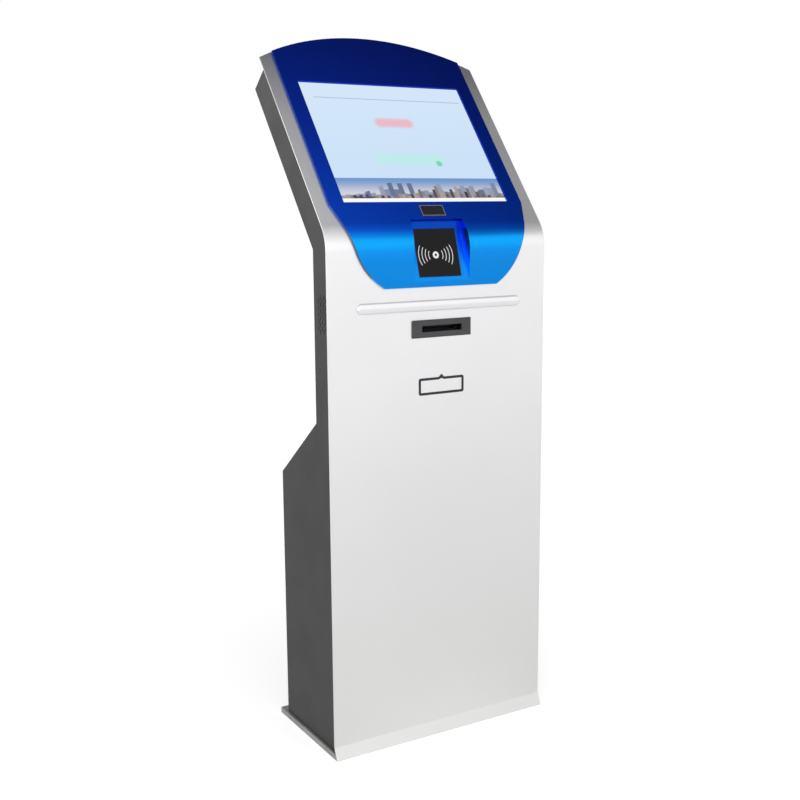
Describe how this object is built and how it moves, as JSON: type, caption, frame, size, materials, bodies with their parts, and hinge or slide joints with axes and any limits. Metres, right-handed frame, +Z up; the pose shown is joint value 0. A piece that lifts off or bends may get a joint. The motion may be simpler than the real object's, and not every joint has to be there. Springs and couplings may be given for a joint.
{
  "type": "ticket vending machine",
  "caption": "Free-standing ticket kiosk: leaning arched display head, reader pocket, ticket slot, stepped dark cabinet with rear service door",
  "frame": {"origin": "on the floor, at the middle of the four floor anchors and of the lower cabinet's footprint", "axes": "+Z up, front towards -Y, +X to the right when the front is faced"},
  "size_m": [0.5, 0.3295, 1.424],
  "materials": {
    "panel_white": "satin powder coat, shading to silver on the sloping head",
    "body_grey": "fine-textured dark grey powder coat",
    "base_grey": "light grey powder coat",
    "fascia_blue": "high-gloss metallic blue",
    "screen_glass": "clear touch glass over a lit display",
    "display_black": "matt black display module",
    "window_black": "black acrylic with printed white contactless waves",
    "badge_black": "black plate with a bright edge",
    "bezel_grey": "dark grey moulded plastic",
    "label_black": "printed black line",
    "zinc_steel": "zinc-plated sheet steel",
    "bright_steel": "bright turned steel",
    "lock_chrome": "polished chrome",
    "seal_rubber": "black foam rubber",
    "roller_rubber": "ground black rubber",
    "module_black": "black moulded plastic",
    "gear_white": "white acetal",
    "pinion_brass": "machined brass",
    "head_ceramic": "dark ceramic substrate",
    "lever_green": "green release lever",
    "core_card": "kraft board",
    "ticket_paper": "smooth thermal paper",
    "computer_alu": "black anodised, ribbed",
    "supply_alu": "perforated aluminium case",
    "rocker_red": "red rocker"
  },
  "bodies": {
    "cabinet": {"floor_plate": "base_grey", "front_panel": "panel_white", "side_panel_left": "body_grey", "side_panel_right": "body_grey", "top_cap": "body_grey", "head_cover": "body_grey", "neck_cover": "body_grey", "rear_frame": "body_grey", "door_seal": "seal_rubber", "hinge_frame_leaves": "zinc_steel", "hinge_pins": "zinc_steel", "fascia": "fascia_blue", "touch_glass": "screen_glass", "lcd_panel": "display_black", "display_housing": "zinc_steel", "display_brackets": "zinc_steel", "reader_window": "window_black", "card_reader": "module_black", "badge_plate": "badge_black", "trim_bar": "panel_white", "ticket_bezel": "bezel_grey", "ticket_label": "label_black", "printer_chassis": "zinc_steel", "idler_pin": "bright_steel", "feed_motor": "bright_steel", "paper_guide": "module_black", "fixed_blade": "bright_steel", "blade_rails": "module_black", "cutter_drive": "module_black", "roll_holder": "zinc_steel", "roll_spindle": "bright_steel", "fan_frame": "module_black", "speakers": "module_black", "shelf_rails": "zinc_steel", "shelf": "zinc_steel", "computer": "computer_alu", "power_supply": "supply_alu", "power_inlet": "module_black", "switch_housing": "module_black", "cable_grommet": "seal_rubber", "cover_screws": "bright_steel", "fan_screws": "bright_steel"},
    "door": {"service_door": "body_grey", "hinge_door_leaves": "zinc_steel", "lock_barrel": "lock_chrome"},
    "lock": {"lock_cam": "zinc_steel"},
    "roll": {"paper_roll": "ticket_paper", "roll_core": "core_card"},
    "platen": {"platen_shaft": "bright_steel", "platen_roller": "roller_rubber", "platen_gear": "gear_white"},
    "idler": {"idler_gear": "gear_white"},
    "pinion": {"motor_pinion": "pinion_brass"},
    "head": {"print_head": "head_ceramic", "head_lever": "lever_green"},
    "cutter": {"moving_blade": "bright_steel"},
    "fan": {"fan_rotor": "module_black"},
    "switch": {"switch_rocker": "rocker_red"}
  },
  "joints": [
    {"name": "door_hinge", "type": "hinge", "parent": "cabinet", "child": "door", "pos_m": [-0.2145, 0.1166, 0.289], "axis": [0, 0, 1], "range_deg": [0, 110]},
    {"name": "lock_turn", "type": "hinge", "parent": "door", "child": "lock", "pos_m": [0.192, 0.1125, 0.3], "axis": [0, -1, 0], "range_deg": [0, 90]},
    {"name": "roll_spin", "type": "hinge", "parent": "cabinet", "child": "roll", "pos_m": [0, -0.0525, 0.556], "axis": [1, 0, 0], "continuous": true},
    {"name": "platen_spin", "type": "hinge", "parent": "cabinet", "child": "platen", "pos_m": [0, -0.0765, 0.834], "axis": [1, 0, 0], "continuous": true},
    {"name": "idler_spin", "type": "hinge", "parent": "cabinet", "child": "idler", "pos_m": [0.05, -0.0825, 0.81388], "axis": [1, 0, 0], "continuous": true},
    {"name": "pinion_spin", "type": "hinge", "parent": "cabinet", "child": "pinion", "pos_m": [0.05, -0.0905, 0.79775], "axis": [1, 0, 0], "continuous": true},
    {"name": "head_release", "type": "hinge", "parent": "cabinet", "child": "head", "pos_m": [0, -0.0572, 0.83068], "axis": [-1, 0, 0], "range_deg": [0, 10]},
    {"name": "cutter_slide", "type": "slide", "parent": "cabinet", "child": "cutter", "axis": [0, 0, 1], "range_m": [0, 0.006]},
    {"name": "fan_spin", "type": "hinge", "parent": "cabinet", "child": "fan", "pos_m": [0, 0.12407, 1.2324], "axis": [0, -0.7837, 0.6211], "continuous": true},
    {"name": "switch_rock", "type": "hinge", "parent": "cabinet", "child": "switch", "pos_m": [0.1, 0.1085, 0.046], "axis": [0, 0, -1], "range_deg": [0, 14]}
  ],
  "couplings": [
    {"joint": "idler_spin", "follows": "platen_spin", "ratio": -0.75},
    {"joint": "pinion_spin", "follows": "platen_spin", "ratio": 1.5}
  ]
}
